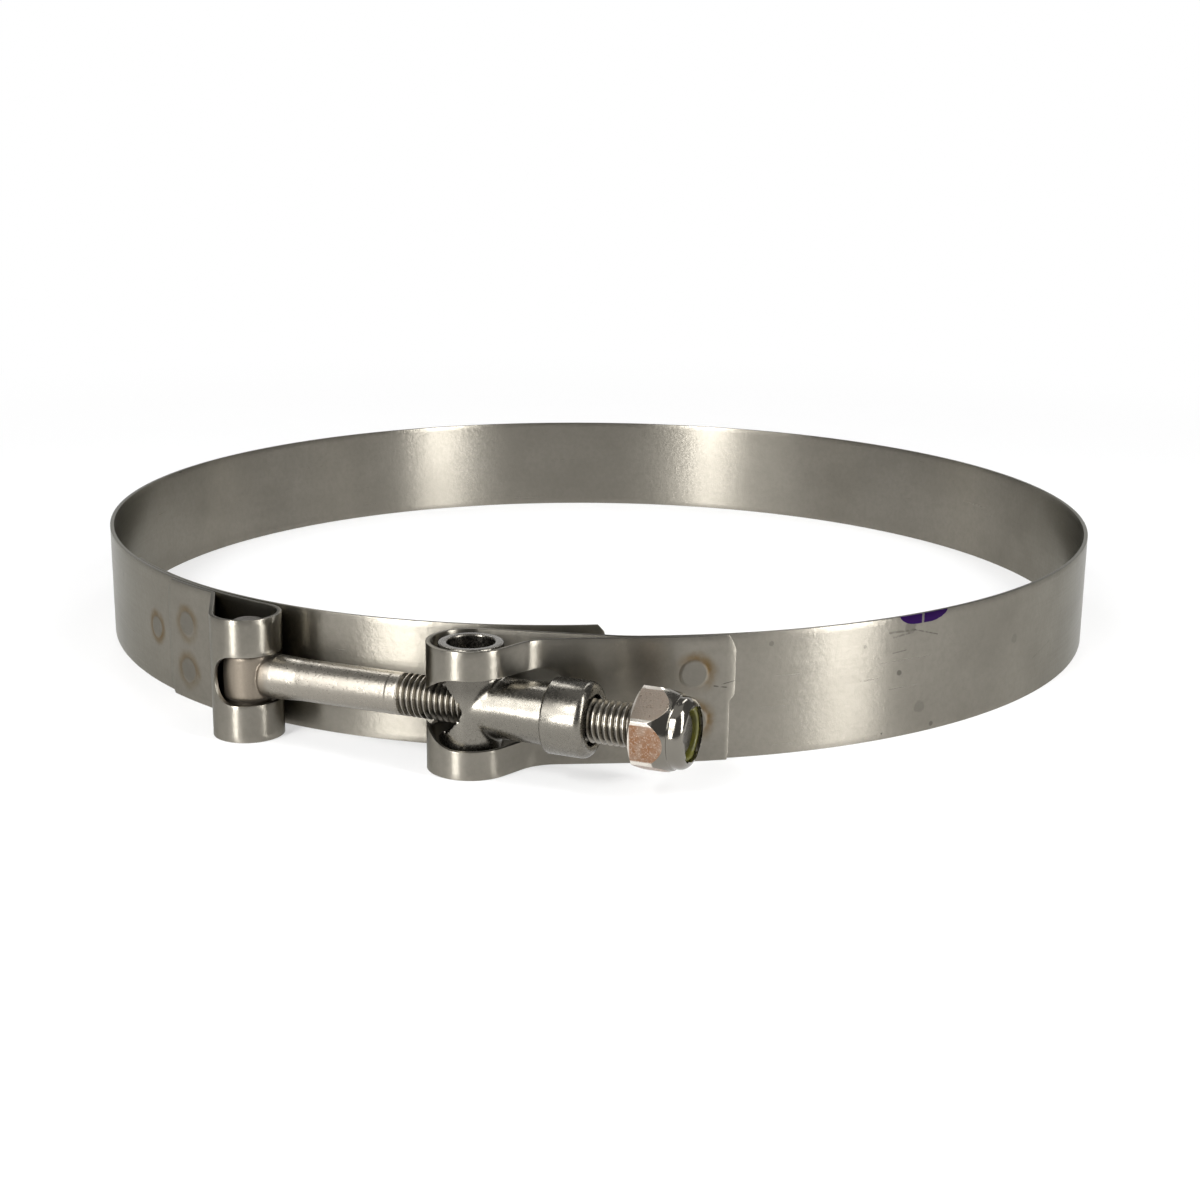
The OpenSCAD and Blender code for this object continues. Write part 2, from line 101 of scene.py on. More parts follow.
class StripSizes(bpy.types.PropertyGroup):
    """Sizes of the band, its loops and the bridge."""

    radius: length("Band radius", "Outside radius of the ring", 0.09)
    width: length("Strip width", "Width of the band and the bridge", 0.01905)
    thick: length("Strip thickness", "Thickness of the band", 0.00065)
    seam: length("Seam", "Gap between a folded leg and the band", 0.00008)
    corner_along: length("Corner along", "Corner cut of a strip end, along the band", 0.001)
    corner_across: length("Corner across", "Corner cut of a strip end, across the band", 0.0017)
    left_angle: angle("Left loop", "Angle where the band turns into the left loop", -34.0)
    left_loop: length("Left loop radius", "Inside radius of the left loop", 0.00475)
    left_touch: angle("Left leg foot", "Angle where the left leg meets the band", -42.5)
    left_leg: length("Left leg straight", "Straight start of the left leg", 0.001)
    left_bend: length("Left foot radius", "Inside radius of the left leg's foot", 0.0014)
    left_end: angle("Left leg end", "Angle of the left leg's end", -49.5)
    left_window: length("Left window", "Height of the left loop's window", 0.00755)
    left_reach: length("Left window reach", "How far the window passes the loop's middle", 0.00195)
    right_angle: angle("Right lead", "Angle where the band leaves its circle", 4.5)
    right_turn: angle("Right turn", "Turn where the band leaves its circle", 13.0)
    right_turn_radius: length("Right turn radius", "Inside radius of that turn", 0.022)
    right_lead: length("Right lead length", "Straight length before the right loop", 0.0194)
    right_loop: length("Right loop radius", "Inside radius of the right loop", 0.00585)
    right_touch: angle("Right leg foot", "Angle where the right leg meets the band", 5.0)
    right_leg: length("Right leg straight", "Straight length of the right leg", 0.0139)
    right_bend: length("Right neck radius", "Inside radius of the bend at the right neck", 0.0073)
    right_end: angle("Right leg end", "Angle of the right leg's end", 12.9)
    leg_step: length("Leg step", "How much shorter the right leg's end is below its step", 0.0008)
    step_height: length("Step height", "Height of that step above the lower edge", 0.0096)
    step_slant: length("Step slant", "Height of the step's slanted line", 0.001)
    right_window: length("Right window", "Height of the right loop's window", 0.0106)
    right_window_left: length("Right window left", "Reach of the window towards the head", 0.007)
    right_window_right: length("Right window right", "Reach of the window towards the nut", 0.0149)
    passage: length("Passage", "Diameter of the bolt's passage", 0.0076)
    bridge_thick: length("Bridge thickness", "Thickness of the bridge", 0.00055)
    bridge_radius: length("Bridge radius", "Radius of the bridge's free part", 0.076)
    bridge_start: angle("Bridge start", "Angle of the bridge's welded end", -59.0)
    bridge_leave: angle("Bridge leaves", "Angle where the bridge leaves the band", -50.0)
    bridge_turn: angle("Bridge turn", "Turn of the bridge's free part", 58.7)
    bridge_along: length("Bridge corner along", "Corner cut of the bridge's free end, along it", 0.0012)
    bridge_across: length("Bridge corner across", "Corner cut of the bridge's free end, across it", 0.0013)


class BoltSizes(bpy.types.PropertyGroup):
    """Sizes of the bolt, trunnion, collar, nut and insert."""

    shank: length("Shank", "Diameter of the shank", 0.00635)
    neck: length("Shank root", "Diameter of the shank's root at the head", 0.0068)
    neck_start: length("Root start", "Distance of the root's taper from the head's axis", 0.005)
    neck_taper: length("Root taper", "Length of the root's taper", 0.0045)
    thread_start: length("Thread start", "Length from the head's axis to the thread", 0.0265)
    pitch: length("Pitch", "Pitch of the thread", 0.000907)
    root: length("Thread root", "Diameter at the thread's root", 0.0053)
    past: length("Past trunnion", "Length of bolt past the trunnion's axis", 0.0329)
    hub: length("Hub", "Diameter of the head's hub", 0.00794)
    hub_height: length("Hub height", "Height of the hub", 0.0073)
    arm: length("Arms", "Diameter of the head's arms", 0.00635)
    arm_inset: length("Arm inset", "Distance of the arms' ends from the band's edge", 0.00115)
    head_shift: length("Head shift", "Shift of the head in its loop", 0.00045)
    tube: length("Tube", "Outside diameter of the trunnion's tube", 0.00955)
    tube_bore: length("Tube bore", "Inside diameter of the tube", 0.00704)
    tube_inset: length("Tube inset", "Distance of the tube's ends from the band's edge", 0.00015)
    sleeve: length("Sleeve", "Diameter of the sleeve", 0.009)
    relief: length("Relief", "Diameter of the relief that opens the tube towards the head", 0.0104)
    relief_reach: length("Relief floor", "Distance of the relief's floor from the tube's axis", 0.002)
    funnel: length("Funnel", "Radius of the opening's rounded funnel where it meets the tube's side", 0.00475)
    hole: length("Bolt hole", "Hole for the bolt", 0.0074)
    collar: length("Collar", "Diameter of the collar", 0.0111)
    collar_start: length("Collar start", "Start of the collar from the tube's axis", 0.0129)
    collar_length: length("Collar length", "Length of the collar", 0.0064)
    collar_wall: length("Collar wall", "End wall of the collar", 0.0013)
    nut_gap: length("Nut gap", "Gap between collar and nut", 0.0069)
    nut_flats: length("Flats", "Width of the nut across its flats", 0.01111)
    nut_hex: length("Hexagon", "Height of the nut's hexagon", 0.0056)
    nut_height: length("Nut height", "Full height of the nut", 0.0079)
    nut_dome: angle("Nut dome", "Slope of the hexagon's dome at the crimped end", 69.0)
    nut_turn: angle("Nut turn", "Turn of the hexagon about the bolt", 5.0)
    crimp: length("Crimp", "Diameter of the crimped collar", 0.0103)
    crimp_opening: length("Crimp opening", "Opening of the crimped collar", 0.0078)
    insert: length("Insert", "Outside diameter of the insert", 0.0084)
    around: IntProperty(name="Steps", description="Steps round a turned piece", default=96, min=24, max=256)


class ClampFinish(bpy.types.PropertyGroup):
    """Colours of the clamp's finishes."""

    strip: colour("Strip", "Satin rolled strip", (0.275, 0.257, 0.22))
    strip_dark: colour("Strip smudges", "Darker grey of handled strip", (0.2, 0.186, 0.156))
    bolt: colour("Bolt", "Forged bolt steel", (0.275, 0.254, 0.218))
    head: colour("Head", "Brownish matte steel of the forged head", (0.2, 0.165, 0.125))
    bright: colour("Bright", "Tumbled bright steel", (0.19, 0.178, 0.154))
    copper: colour("Copper film", "Coppery film on the nut's flats", (0.215, 0.103, 0.05))
    heat: colour("Heat tint", "Golden brown tint round a weld", (0.145, 0.09, 0.032))
    # Also the colour of painted shade: upward faces, the gap at the left leg's end, the bolt's arm ends and
    # the bright parts under the loops.
    soot_and_shade: colour("Smudges", "Dark smudges and scratches", (0.06, 0.055, 0.047))
    ink: colour("Ink", "Violet ink dash on the strip's edge", (0.03, 0.009, 0.075))
    # Painted shade in the thread's roots.
    root: colour("Thread roots", "Dark oil in the thread's roots", (0.04, 0.036, 0.03))
    flats: colour("Flats", "Paler film on the nut's flats", (0.36, 0.31, 0.255))
    # Painted glints on the nut's flats.
    glint: colour("Glints", "Specks on the nut's flats", (0.42, 0.33, 0.26))
    # Worn edges, and painted highlight of the nut's edge lines.
    worn: colour("Worn edges", "Bright worn edges of the nut", (0.62, 0.58, 0.52))
    nylon: colour("Nylon", "Olive yellow insert", (0.08, 0.076, 0.009))
    floor: colour("Floor", "Pale studio floor", (0.9, 0.9, 0.9))


def strip_sizes():
    return bpy.context.scene.clamp_strip


def bolt_sizes():
    return bpy.context.scene.clamp_bolt


def finish():
    return bpy.context.scene.clamp_finish


def polar(r, a):
    """A point at radius r and angle a of the band, counted from -Y towards +X."""
    return Vector((r * math.sin(a), -r * math.cos(a)))


def loop_facts(side):
    """Middle, sweep, neck length and foot turn of one loop, in the part's frame."""
    s = strip_sizes()
    if side == "left":
        start, turn, turn_r, lead = -s.left_angle, 0.0, s.left_loop, 0.0
        loop_r, touch, leg, bend_r = s.left_loop, -s.left_touch, s.left_leg, s.left_bend
    else:
        start, turn, turn_r, lead = s.right_angle, s.right_turn, s.right_turn_radius, s.right_lead
        loop_r, touch, leg, bend_r = s.right_loop, s.right_touch, s.right_leg, s.right_bend
    out = lambda r, a: Vector((r * math.cos(a), r * math.sin(a)))
    back = lambda a: Vector((math.sin(a), -math.cos(a)))
    middle = out(s.radius - s.thick - turn_r, start) + out(turn_r + s.thick, start - turn)
    middle += lead * back(start - turn) + out(loop_r, start - turn)
    foot = out(s.radius + s.seam + s.thick + bend_r, touch) + leg * back(touch)
    span = foot - middle
    reach = loop_r + bend_r + s.thick
    neck = math.atan2(span.y, span.x) - math.acos(reach / span.length)
    place = Vector((-middle.y, -middle.x)) if side == "left" else Vector((middle.y, -middle.x))
    return {
        "middle": place,
        "sweep": neck + math.pi - start + turn,
        "neck": math.sqrt(span.length_squared - reach * reach),
        "foot_turn": neck - touch,
    }


def bolt_frame():
    """Head axis point, bolt direction and the distance from head to trunnion."""
    left, right = loop_facts("left")["middle"], loop_facts("right")["middle"]
    along = (right - left).normalized()
    head = left + along * bolt_sizes().head_shift
    return head, along, (right - head).length


def on_bolt(s, turn=0.0):
    """Matrix of a frame on the bolt's axis at distance s from the head, with Z along the bolt."""
    head, along, _ = bolt_frame()
    z = Vector((along.x, along.y, 0))
    x = Vector((0, 0, -1))
    m = Matrix((x, z.cross(x), z)).transposed().to_4x4()
    m.translation = Vector((head.x, head.y, strip_sizes().width / 2)) + z * s
    return m @ Matrix.Rotation(turn, 4, "Z")


def edit():
    """Enters edit mode."""
    bpy.ops.object.mode_set(mode="EDIT")


def leave():
    """Leaves edit mode."""
    bpy.ops.object.mode_set(mode="OBJECT")


def whole():
    """Selects the whole mesh in edit mode."""
    bpy.ops.mesh.select_all(action="SELECT")


def extrude(x, y, z):
    """Extrudes the selection by a vector."""
    bpy.ops.mesh.extrude_region_move(TRANSFORM_OT_translate={"value": (x, y, z)})


def clear():
    """Leaves edit mode and selects nothing."""
    if bpy.context.object and bpy.context.object.mode != "OBJECT":
        leave()
    bpy.ops.object.select_all(action="DESELECT")


def only(obj):
    """Makes one object the active and selected one."""
    clear()
    obj.select_set(True)
    bpy.context.view_layer.objects.active = obj
    return obj


def pick(obj, test):
    """Selects the vertices whose place passes a test, in edit mode."""
    bpy.ops.mesh.select_mode(type="VERT")
    bpy.ops.mesh.select_all(action="DESELECT")
    mesh = bmesh.from_edit_mesh(obj.data)
    for v in mesh.verts:
        v.select_set(bool(test(obj.matrix_world @ v.co)))
    mesh.select_flush_mode()
    bmesh.update_edit_mesh(obj.data)


def settle(obj, name):
    """Puts a piece's place into its mesh and names it."""
    only(obj)
    bpy.ops.object.transform_apply(location=True, rotation=True, scale=True)
    obj.name = name
    obj.data.name = name
    return obj


def apply(obj, kind, **values):
    """Adds a modifier, sets it and applies it."""
    only(obj)
    mod = obj.modifiers.new(kind.title(), kind)
    for key, value in values.items():
        setattr(mod, key, value)
    bpy.ops.object.modifier_apply(modifier=mod.name)
    return obj


def carve(obj, tool, operation="DIFFERENCE"):
    """Boolean with another solid, which is used up."""
    apply(obj, "BOOLEAN", object=tool, operation=operation, solver="EXACT")
    bpy.data.objects.remove(tool)
    return obj


def smooth(obj, degrees=32.0):
    """Smooth shading with hard edges kept."""
    only(obj)
    bpy.ops.object.shade_smooth_by_angle(angle=math.radians(degrees))
    return obj


def soft_edges(obj, width, segments=2, degrees=50.0):
    """Small rounding of the hard edges."""
    return apply(obj, "BEVEL", width=width, segments=segments, limit_method="ANGLE",
                 angle_limit=math.radians(degrees), use_clamp_overlap=True, harden_normals=False)


def put(obj, matrix):
    """Sets a piece in its place and writes the place into its mesh."""
    obj.matrix_world = matrix
    bpy.ops.object.transform_apply(location=True, rotation=True)
    return obj


def join(first, *others):
    """Joins pieces into the first one."""
    only(first)
    for part in others:
        part.select_set(True)
    bpy.ops.object.join()


def remesh(obj, voxel):
    """Lays an even skin over a piece."""
    apply(obj, "REMESH", mode="VOXEL", voxel_size=voxel, use_smooth_shade=True)


def share(value, full):
    """A value's share of a full one, held between 0 and 1."""
    return min(1.0, max(0.0, value / full))


def cylinder(sides, radius, depth, middle):
    """A plain cylinder about Z, with its middle at the given height."""
    clear()
    bpy.ops.mesh.primitive_cylinder_add(vertices=sides, radius=radius, depth=depth, location=(0, 0, middle))
    bpy.ops.object.transform_apply(location=True)
    return bpy.context.object


def point(r, z):
    """A mesh of one point, selected in edit mode."""
    clear()
    bpy.ops.mesh.primitive_plane_add(size=0.001, location=(r, 0, z))
    bpy.ops.object.transform_apply(location=True)
    edit()
    bpy.ops.mesh.select_mode(type="VERT")
    whole()
    bpy.ops.mesh.merge(type="CENTER")
    return bpy.context.object


def rod(radius, depth, matrix, edge=0.0, sides=96, steps=6):
    """A cylinder along the frame's Z from its origin, with rounded rims."""
    obj = cylinder(sides, radius, depth, depth / 2)
    if edge:
        edit()
        whole()
        bpy.ops.mesh.select_mode(type="EDGE")
        mesh = bmesh.from_edit_mesh(obj.data)
        for e in mesh.edges:
            a, b = e.verts
            e.select_set(abs(a.co.z - b.co.z) < 1e-7)
        bmesh.update_edit_mesh(obj.data)
        bpy.ops.mesh.bevel(offset=edge, segments=steps, affect="EDGES")
        leave()
    return put(obj, matrix)


def slot_tool(width, run, depth, matrix):
    """A long hole's cutter: round ends, run along Y and depth along Z of the frame."""
    obj = cylinder(96, width / 2, depth, depth / 2)
    edit()
    pick(obj, lambda p: p.y > 1e-7)
    bpy.ops.transform.translate(value=(0, run, 0))
    leave()
    return put(obj, matrix)


def turned(points, matrix, steps=None):
    """A piece turned about the frame's Z from points (radius, height)."""
    steps = steps or bolt_sizes().around
    obj = point(*points[0])
    last = points[0]
    closed = last[0] > 0
    for r, z in points[1:] + ([points[0]] if closed else []):
        extrude(r - last[0], 0, z - last[1])
        last = (r, z)
    whole()
    bpy.ops.mesh.spin(steps=steps, angle=-2 * math.pi, center=(0, 0, 0), axis=(0, 0, 1))
    whole()
    bpy.ops.mesh.remove_doubles(threshold=1e-7)
    bpy.ops.mesh.normals_make_consistent(inside=False)
    leave()
    return put(obj, matrix)


def rounding(r, z, radius, a0, a1, steps=6):
    """Points of a rounded edge about (r, z), in degrees."""
    out = []
    for i in range(steps + 1):
        a = math.radians(a0 + (a1 - a0) * i / steps)
        out.append((r + radius * math.cos(a), z + radius * math.sin(a)))
    return out


class Strip:
    """A strip laid out along a path: each step is extruded or spun from the last edge."""

    def __init__(self, at, heading, width, rows):
        clear()
        bpy.ops.mesh.primitive_plane_add(size=width, location=(at.x, at.y, width / 2),
                                         rotation=(math.pi / 2, 0, 0))
        self.obj = bpy.context.object
        bpy.ops.object.transform_apply(location=True, rotation=True)
        edit()
        pick(self.obj, lambda p: p.x > at.x)
        bpy.ops.mesh.delete(type="VERT")
        whole()
        bpy.ops.transform.translate(value=(width / 2, 0, 0))
        bpy.ops.mesh.subdivide(number_cuts=rows - 1)
        self.at, self.heading = at.copy(), heading

    def straight(self, run, steps=1):
        d = Vector((math.cos(self.heading), math.sin(self.heading)))
        for _ in range(steps):
            move = d * (run / steps)
            extrude(move.x, move.y, 0)
        self.at += d * run

    def bend(self, radius, turn, steps):
        """A turn to the left if positive and to the right if negative."""
        side = 1 if turn > 0 else -1
        normal = Vector((-math.sin(self.heading), math.cos(self.heading))) * side
        c = self.at + normal * radius
        bpy.ops.mesh.spin(steps=steps, angle=-turn, center=(c.x, c.y, 0), axis=(0, 0, 1))
        self.at = c + Matrix.Rotation(turn, 2) @ (self.at - c)
        self.heading += turn

    def shape_end(self, at, out, inset):
        """Sets each row of the end at a point back by inset(z), against the heading out of the strip."""
        near = lambda p: (Vector((p.x, p.y)) - at).length < 1e-5
        mesh = bmesh.from_edit_mesh(self.obj.data)
        for z in sorted({round(v.co.z, 6) for v in mesh.verts if near(v.co)}):
            if inset(z) > 0:
                pick(self.obj, lambda p: near(p) and abs(p.z - z) < 1e-6)
                bpy.ops.transform.translate(value=(-inset(z) * math.cos(out), -inset(z) * math.sin(out), 0))

    def done(self, thick):
        whole()
        bpy.ops.mesh.remove_doubles(threshold=1e-7)
        leave()
        return apply(self.obj, "SOLIDIFY", thickness=thick, offset=0.0, use_even_offset=True, use_rim=True)


def corner_inset(z, along, across):
    """How far a cut corner sets a strip's end back at height z."""
    return along * max(0.0, 1.0 - min(z, strip_sizes().width - z) / across)


def leg_inset(z):
    """How far the right leg's end is set back at height z by its corners and its step."""
    s = strip_sizes()
    below = share(s.step_height + s.step_slant / 2 - z, s.step_slant)
    return max(s.leg_step * below, corner_inset(z, s.corner_along, s.corner_across))


class Graph:
    """Short forms for the nodes of one tree."""

    def __init__(self, tree):
        self.tree = tree

    def fill(self, n, inputs):
        """Sets or links inputs of a node."""
        for key, value in dict(inputs).items():
            if isinstance(value, bpy.types.NodeSocket):
                self.tree.links.new(value, n.inputs[key])
            else:
                n.inputs[key].default_value = value
        return n

    def node(self, kind, inputs=(), **settings):
        n = self.tree.nodes.new(kind)
        for key, value in settings.items():
            setattr(n, key, value)
        return self.fill(n, inputs)

    def math(self, operation, a, b=0.0, clamp=False):
        return self.node("ShaderNodeMath", {0: a, 1: b}, operation=operation, use_clamp=clamp).outputs[0]

    def times(self, a, b):
        return self.math("MULTIPLY", a, b)

    def plus(self, a, b):
        return self.math("ADD", a, b)

    def minus(self, a, b):
        return self.math("SUBTRACT", a, b)

    def z_of(self, vector):
        return self.node("ShaderNodeSeparateXYZ", {0: vector}).outputs["Z"]

    def vector(self, operation, a, b=(0, 0, 0), output="Vector"):
        return self.node("ShaderNodeVectorMath", {0: a, 1: b}, operation=operation).outputs[output]

    def fade(self, value, low, high, to_low=0.0, to_high=1.0):
        """A smooth step from one value to another."""
        inputs = {"Value": value, "From Min": low, "From Max": high, "To Min": to_low, "To Max": to_high}
        return self.node("ShaderNodeMapRange", inputs, interpolation_type="SMOOTHSTEP").outputs["Result"]

    def noise(self, vector, scale, detail=2.0, rough=0.5):
        inputs = {"Vector": vector, "Scale": scale, "Detail": detail, "Roughness": rough}
        return self.node("ShaderNodeTexNoise", inputs).outputs["Fac"]

    def mix(self, factor, a, b):
        a, b = ((*c, 1) if not isinstance(c, bpy.types.NodeSocket) else c for c in (a, b))
        return self.node("ShaderNodeMix", {0: factor, 6: a, 7: b}, data_type="RGBA").outputs[2]

    def effect(self, group, **inputs):
        return self.node("ShaderNodeGroup", inputs, node_tree=group).outputs

    def bump(self, height, depth):
        """A bump of a given depth in metres for a height from 0 to 1."""
        inputs = {"Height": height, "Distance": depth, "Strength": 1.0}
        return self.node("ShaderNodeBump", inputs).outputs["Normal"]


def node_group(**ins):
    """Has a group made at its first use by a function that gives its outputs, and found by its name later."""

    def wrap(make):
        def group():
            tree = bpy.data.node_groups.get(make.__name__)
            if tree is None:
                tree = bpy.data.node_groups.new(make.__name__, "ShaderNodeTree")
                for label, kind in ins.items():
                    tree.interface.new_socket(label, in_out="INPUT", socket_type="NodeSocket" + kind)
                g = Graph(tree)
                outs = make(g, g.node("NodeGroupInput").outputs)
                for label in outs:
                    tree.interface.new_socket(label, in_out="OUTPUT", socket_type="NodeSocketFloat")
                g.node("NodeGroupOutput", outs)
            return tree

        return group

    return wrap


@node_group(Vector="Vector")
def rolled_grain(g, src):
    """Fine lines along the strip, soft mottling and their height."""
    streak = g.noise(g.vector("MULTIPLY", src["Vector"], (30, 30, 3200)), 1.0, 3.0, 0.7)
    speck = g.noise(g.vector("MULTIPLY", src["Vector"], (1500, 1500, 2600)), 1.0, 2.0, 0.6)
    mottle = g.noise(src["Vector"], 70.0, 5.0, 0.62)
    height = g.plus(g.times(streak, 0.5), g.times(speck, 0.5))
    return {"Streak": streak, "Mottle": mottle, "Height": height}


@node_group(Vector="Vector", Centre="Vector", Radius="Float", Lean="Float")
def weld_spot(g, src):
    """A weld's disc, its soft raised face and the heat ring round it, which leans to one side."""
    wobble = g.times(g.minus(g.noise(src["Vector"], 420.0, 3.0), 0.5), 0.5)
    away = g.vector("DISTANCE", src["Vector"], src["Centre"], "Value")
    plain = g.math("DIVIDE", away, src["Radius"])
    share = g.plus(plain, wobble)
    side = g.vector("DOT_PRODUCT", g.vector("SUBTRACT", src["Vector"], src["Centre"]), (0.8, 0, 0.6), "Value")
    lean = g.fade(g.math("DIVIDE", side, src["Radius"]), -0.9, 0.8, 0.15, 1.0)
    lean = g.plus(g.times(lean, src["Lean"]), g.minus(1.0, src["Lean"]))
    ring = g.times(g.fade(share, 0.7, 1.06), g.fade(share, 1.06, 1.8, 1.0, 0.0))
    ring = g.times(ring, g.fade(g.noise(src["Vector"], 300.0, 4.0, 0.6), 0.25, 0.6, 0.35, 1.0))
    return {"Disc": g.fade(plain, 0.8, 1.0, 1.0, 0.0), "Ring": g.times(ring, lean),
            "Raised": g.fade(plain, 0.78, 1.08, 1.0, 0.0)}


@node_group(Vector="Vector", Centre="Vector", Radius="Float")
def smudge(g, src):
    """A soft round smudge."""
    away = g.math("DIVIDE", g.vector("DISTANCE", src["Vector"], src["Centre"], "Value"), src["Radius"])
    wobble = g.times(g.minus(g.noise(src["Vector"], 900.0, 3.0), 0.5), 0.9)
    return {"Patch": g.fade(g.plus(away, wobble), 0.7, 1.1, 1.0, 0.0)}


@node_group(Vector="Vector", From="Vector", To="Vector", Width="Float")
def scratch_and_shade_line(g, src):
    """A thin ragged dark line between two points: a scratch, and also the painted shade along the left leg's
    end.
    """
    run = g.vector("SUBTRACT", src["To"], src["From"])
    away = g.vector("SUBTRACT", src["Vector"], src["From"])
    share = g.math("DIVIDE", g.vector("DOT_PRODUCT", away, run, "Value"),
                   g.vector("DOT_PRODUCT", run, run, "Value"), True)
    nearest = g.node("ShaderNodeVectorMath", {0: run, "Scale": share}, operation="SCALE").outputs[0]
    gap = g.vector("DISTANCE", away, nearest, "Value")
    ragged = g.fade(g.noise(src["Vector"], 1100.0, 3.0), 0.3, 0.55)
    return {"Line": g.times(g.fade(g.math("DIVIDE", gap, src["Width"]), 0.3, 1.0, 1.0, 0.0), ragged)}


@node_group(Vector="Vector", Scale="Float", Cover="Float")
def handling(g, src):
    """Patches left by hands and tools."""
    cloud = g.noise(src["Vector"], src["Scale"], 6.0, 0.65)
    edge = g.minus(0.62, g.times(src["Cover"], 0.25))
    return {"Patch": g.fade(cloud, edge, 0.8)}


class Surface(Graph):
    """A new material's graph, with its shader and object coordinates."""

    def __init__(self, name, rgb, metallic=1.0, roughness=0.3):
        self.material = bpy.data.materials.new(name)
        self.material.use_nodes = True
        super().__init__(self.material.node_tree)
        self.shader = self.tree.nodes["Principled BSDF"]
        self.fill(self.shader, {"Base Color": (*rgb, 1), "Metallic": metallic, "Roughness": roughness})
        at = self.node("ShaderNodeTexCoord").outputs
        self.place, self.normal = at["Object"], at["Normal"]

    def done(self, base, rough, height, depth):
        """Links colour, roughness and bump, and gives the material."""
        bump = self.bump(height, depth)
        self.fill(self.shader, {"Base Color": base, "Roughness": rough, "Normal": bump})
        return self.material


# Smudges on the band: angle, height, radius and strength.
SMUDGES = ((30.7, 0.0102, 0.0005, 0.6), (33.5, 0.0042, 0.0011, 0.25), (35.2, 0.0009, 0.00045, 0.5),
           (31.8, 0.0172, 0.0011, 0.35), (28.9, 0.0009, 0.00018, 0.9), (26.5, 0.0152, 0.0003, 0.4),
           (10.4, 0.0174, 0.00016, 0.9), (9.4, 0.0174, 0.0003, 0.3), (16.5, 0.0172, 0.0004, 0.35),
           (10.3, 0.0122, 0.00022, 0.9), (-16.0, 0.003, 0.0003, 0.5), (48.0, 0.011, 0.0009, 0.2),
           (-72.0, 0.006, 0.0008, 0.25), (-64.0, 0.0145, 0.0005, 0.3))
# Scratches on the band, and one dark line of painted shade in the gap along the left leg's end: ends as angle
# and height, distance out from the band, width and strength.
SCRATCHES_AND_SHADE = (((11.6, 0.0117), (15.4, 0.0131), 0.00073, 0.00011, 0.7),
             ((10.9, 0.0115), (12.1, 0.0112), 0.00073, 0.00014, 0.8),
             # Painted shade: a dark line on the band in the shaded gap along the left leg's end.
             ((-49.62, 0.0016), (-49.62, 0.0175), 0.0, 0.00028, 0.85),
             ((29.3, 0.0168), (32.4, 0.0167), 0.0, 0.00025, 0.45),
             ((32.4, 0.0167), (35.4, 0.0153), 0.0, 0.00014, 0.6),
             ((29.8, 0.0160), (31.8, 0.0163), 0.0, 0.0002, 0.4),
             ((29.8, 0.0135), (31.4, 0.0137), 0.0, 0.00012, 0.5),
             ((52.0, 0.0060), (57.0, 0.0078), 0.0, 0.00012, 0.4),
             ((-75.0, 0.0120), (-70.0, 0.0128), 0.0, 0.00012, 0.4))


def on_face(degrees, z, out=0.0):
    """A point on the band's outer face."""
    return (*polar(strip_sizes().radius + out, math.radians(degrees)), z)


def ink_mark(g, place):
    """Share of the lens-shaped ink dash under the band's upper edge, split by a thin gap."""
    axis = g.node("ShaderNodeSeparateXYZ", {0: place}).outputs
    turn = g.math("ARCTAN2", axis["X"], g.times(axis["Y"], -1.0))
    stray = g.times(g.minus(g.noise(place, 700.0, 4.0, 0.7), 0.5), 0.16)
    share = g.plus(g.math("DIVIDE", g.minus(turn, INK_START), INK_RUN), g.times(stray, 0.3))
    side = g.math("ABSOLUTE", g.minus(g.times(share, 2.0), 1.0))
    depth = g.times(g.minus(1.0, g.math("POWER", side, 4.0)), INK_DEPTH)
    below = g.math("DIVIDE", g.minus(strip_sizes().width, axis["Z"]), g.math("MAXIMUM", depth, 0.00001))
    below = g.plus(below, stray)
    mark = g.times(g.fade(below, 0.93, 1.03, 1.0, 0.0), g.fade(side, 0.95, 1.0, 1.0, 0.0))
    gap = g.fade(g.math("ABSOLUTE", g.minus(share, INK_GAP)), 0.012, 0.03, 0.25, 1.0)
    out = g.vector("LENGTH", g.vector("MULTIPLY", place, (1, 1, 0)), output="Value")
    return g.times(g.times(mark, gap), g.fade(out, 0.0897, 0.0899))


